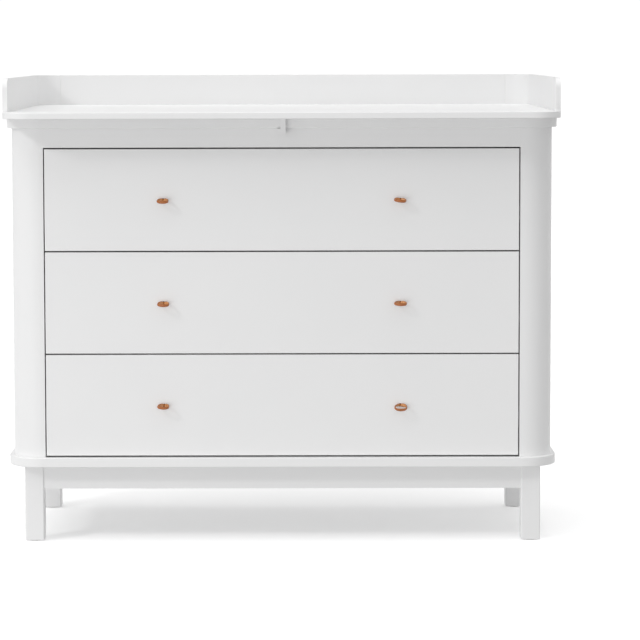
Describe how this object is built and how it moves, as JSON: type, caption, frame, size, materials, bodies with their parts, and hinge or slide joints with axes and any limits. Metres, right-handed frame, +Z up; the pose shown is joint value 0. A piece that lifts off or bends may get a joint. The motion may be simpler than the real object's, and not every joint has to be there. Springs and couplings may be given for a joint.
{
  "type": "changing table",
  "caption": "Wide white drawer cabinet on square legs with a deeper rimmed changing top that hooks over its front edge, and soft leather loop pulls.",
  "frame": {"origin": "on the floor, under the middle of the changing top (the whole object's outline)", "axes": "+Z up, -Y towards the person standing at the front, +X to that person's right"},
  "size_m": [1.15, 0.75, 0.97],
  "materials": {
    "white_lacquer": "satin white lacquer",
    "birch_plywood": "clear matt varnish",
    "beech_dowel": "bare, fluted",
    "zinc_steel": "zinc plated",
    "cognac_leather": "smooth vegetable-tanned",
    "glide_plastic": "matt",
    "pad_rubber": "translucent grey"
  },
  "bodies": {
    "cabinet": {"base_plate": "white_lacquer", "cabinet_top": "white_lacquer", "side_panel_left": "white_lacquer", "side_panel_right": "white_lacquer", "runner_panel_left": "white_lacquer", "runner_panel_right": "white_lacquer", "top_rail": "white_lacquer", "back_panel": "white_lacquer", "apron_front": "white_lacquer", "apron_back": "white_lacquer", "apron_left": "white_lacquer", "apron_right": "white_lacquer", "leg_front_left": "white_lacquer", "leg_front_right": "white_lacquer", "leg_rear_left": "white_lacquer", "leg_rear_right": "white_lacquer", "foot_glides": "glide_plastic", "apron_dowels": "beech_dowel", "leg_bolts": "zinc_steel", "carcass_dowels": "beech_dowel", "carcass_screws": "zinc_steel", "cabinet_runners": "zinc_steel", "runner_screws": "zinc_steel"},
    "changing_top": {"changing_board": "white_lacquer", "rim_left": "white_lacquer", "rim_right": "white_lacquer", "rim_back": "white_lacquer", "front_stop": "white_lacquer", "changing_top_screws": "zinc_steel", "top_pads": "pad_rubber"},
    "drawer_1": {"drawer_1_front": "white_lacquer", "drawer_1_side_left": "birch_plywood", "drawer_1_side_right": "birch_plywood", "drawer_1_back": "birch_plywood", "drawer_1_bottom": "birch_plywood", "drawer_1_dowels": "beech_dowel", "drawer_1_runners": "zinc_steel", "drawer_1_pull_left": "cognac_leather", "drawer_1_pull_right": "cognac_leather"},
    "middle_runners_1": {"middle_runners_1": "zinc_steel"},
    "drawer_2": {"drawer_2_front": "white_lacquer", "drawer_2_side_left": "birch_plywood", "drawer_2_side_right": "birch_plywood", "drawer_2_back": "birch_plywood", "drawer_2_bottom": "birch_plywood", "drawer_2_dowels": "beech_dowel", "drawer_2_runners": "zinc_steel", "drawer_2_pull_left": "cognac_leather", "drawer_2_pull_right": "cognac_leather"},
    "middle_runners_2": {"middle_runners_2": "zinc_steel"},
    "drawer_3": {"drawer_3_front": "white_lacquer", "drawer_3_side_left": "birch_plywood", "drawer_3_side_right": "birch_plywood", "drawer_3_back": "birch_plywood", "drawer_3_bottom": "birch_plywood", "drawer_3_dowels": "beech_dowel", "drawer_3_runners": "zinc_steel", "drawer_3_pull_left": "cognac_leather", "drawer_3_pull_right": "cognac_leather"},
    "middle_runners_3": {"middle_runners_3": "zinc_steel"}
  },
  "joints": [
    {"name": "changing_top_slide", "type": "slide", "parent": "cabinet", "child": "changing_top", "axis": [0, -1, 0], "range_m": [0, 0.25]},
    {"name": "drawer_1_slide", "type": "slide", "parent": "cabinet", "child": "drawer_1", "axis": [0, -1, 0], "range_m": [0, 0.36]},
    {"name": "middle_runners_1_slide", "type": "slide", "parent": "cabinet", "child": "middle_runners_1", "axis": [0, -1, 0], "range_m": [0, 0.18]},
    {"name": "drawer_2_slide", "type": "slide", "parent": "cabinet", "child": "drawer_2", "axis": [0, -1, 0], "range_m": [0, 0.36]},
    {"name": "middle_runners_2_slide", "type": "slide", "parent": "cabinet", "child": "middle_runners_2", "axis": [0, -1, 0], "range_m": [0, 0.18]},
    {"name": "drawer_3_slide", "type": "slide", "parent": "cabinet", "child": "drawer_3", "axis": [0, -1, 0], "range_m": [0, 0.36]},
    {"name": "middle_runners_3_slide", "type": "slide", "parent": "cabinet", "child": "middle_runners_3", "axis": [0, -1, 0], "range_m": [0, 0.18]}
  ],
  "couplings": [
    {"joint": "middle_runners_1_slide", "follows": "drawer_1_slide", "ratio": 0.5},
    {"joint": "middle_runners_2_slide", "follows": "drawer_2_slide", "ratio": 0.5},
    {"joint": "middle_runners_3_slide", "follows": "drawer_3_slide", "ratio": 0.5}
  ]
}
